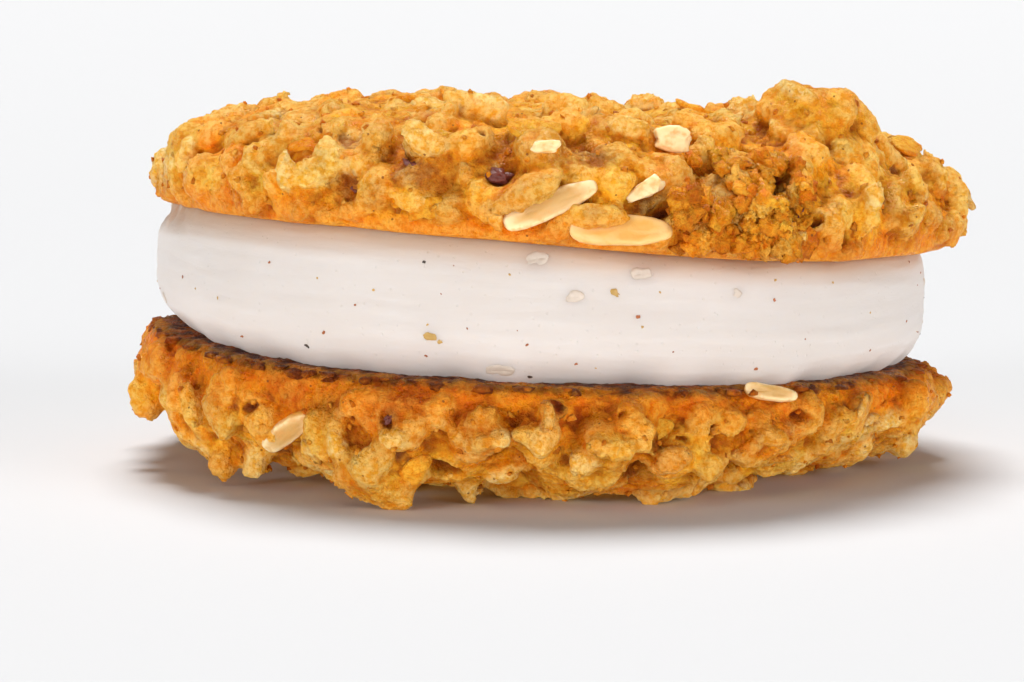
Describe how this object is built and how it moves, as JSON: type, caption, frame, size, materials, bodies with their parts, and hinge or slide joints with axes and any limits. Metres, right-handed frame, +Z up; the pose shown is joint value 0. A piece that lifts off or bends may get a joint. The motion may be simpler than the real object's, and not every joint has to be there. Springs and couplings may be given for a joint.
{
  "type": "oatmeal cream pie",
  "caption": "Oatmeal cream pie: two round craggy oat cookies, oats and almond slices in relief, with flat baked faces against a thick slab of whipped cream.",
  "frame": {"origin": "the table under the middle of the pie's outline: z = 0 is the surface that the lower cookie's crags stand on", "axes": "+Z up, from the lower cookie to the upper one; -Y towards the front of the pie; +X to the right, the side the leaning flat faces drop towards"},
  "size_m": [0.0858, 0.083, 0.0382],
  "materials": {
    "golden_oat_crust": "baked oat crust, rough with a faint butter sheen",
    "toasted_oat_crust": "toasted oat crust, browner at the rim",
    "whipped_cream": "smooth whipped cream with fine crumbs and spice specks"
  },
  "bodies": {
    "root": {"upper_cookie": "golden_oat_crust", "cream": "whipped_cream", "lower_cookie": "toasted_oat_crust"}
  },
  "joints": []
}
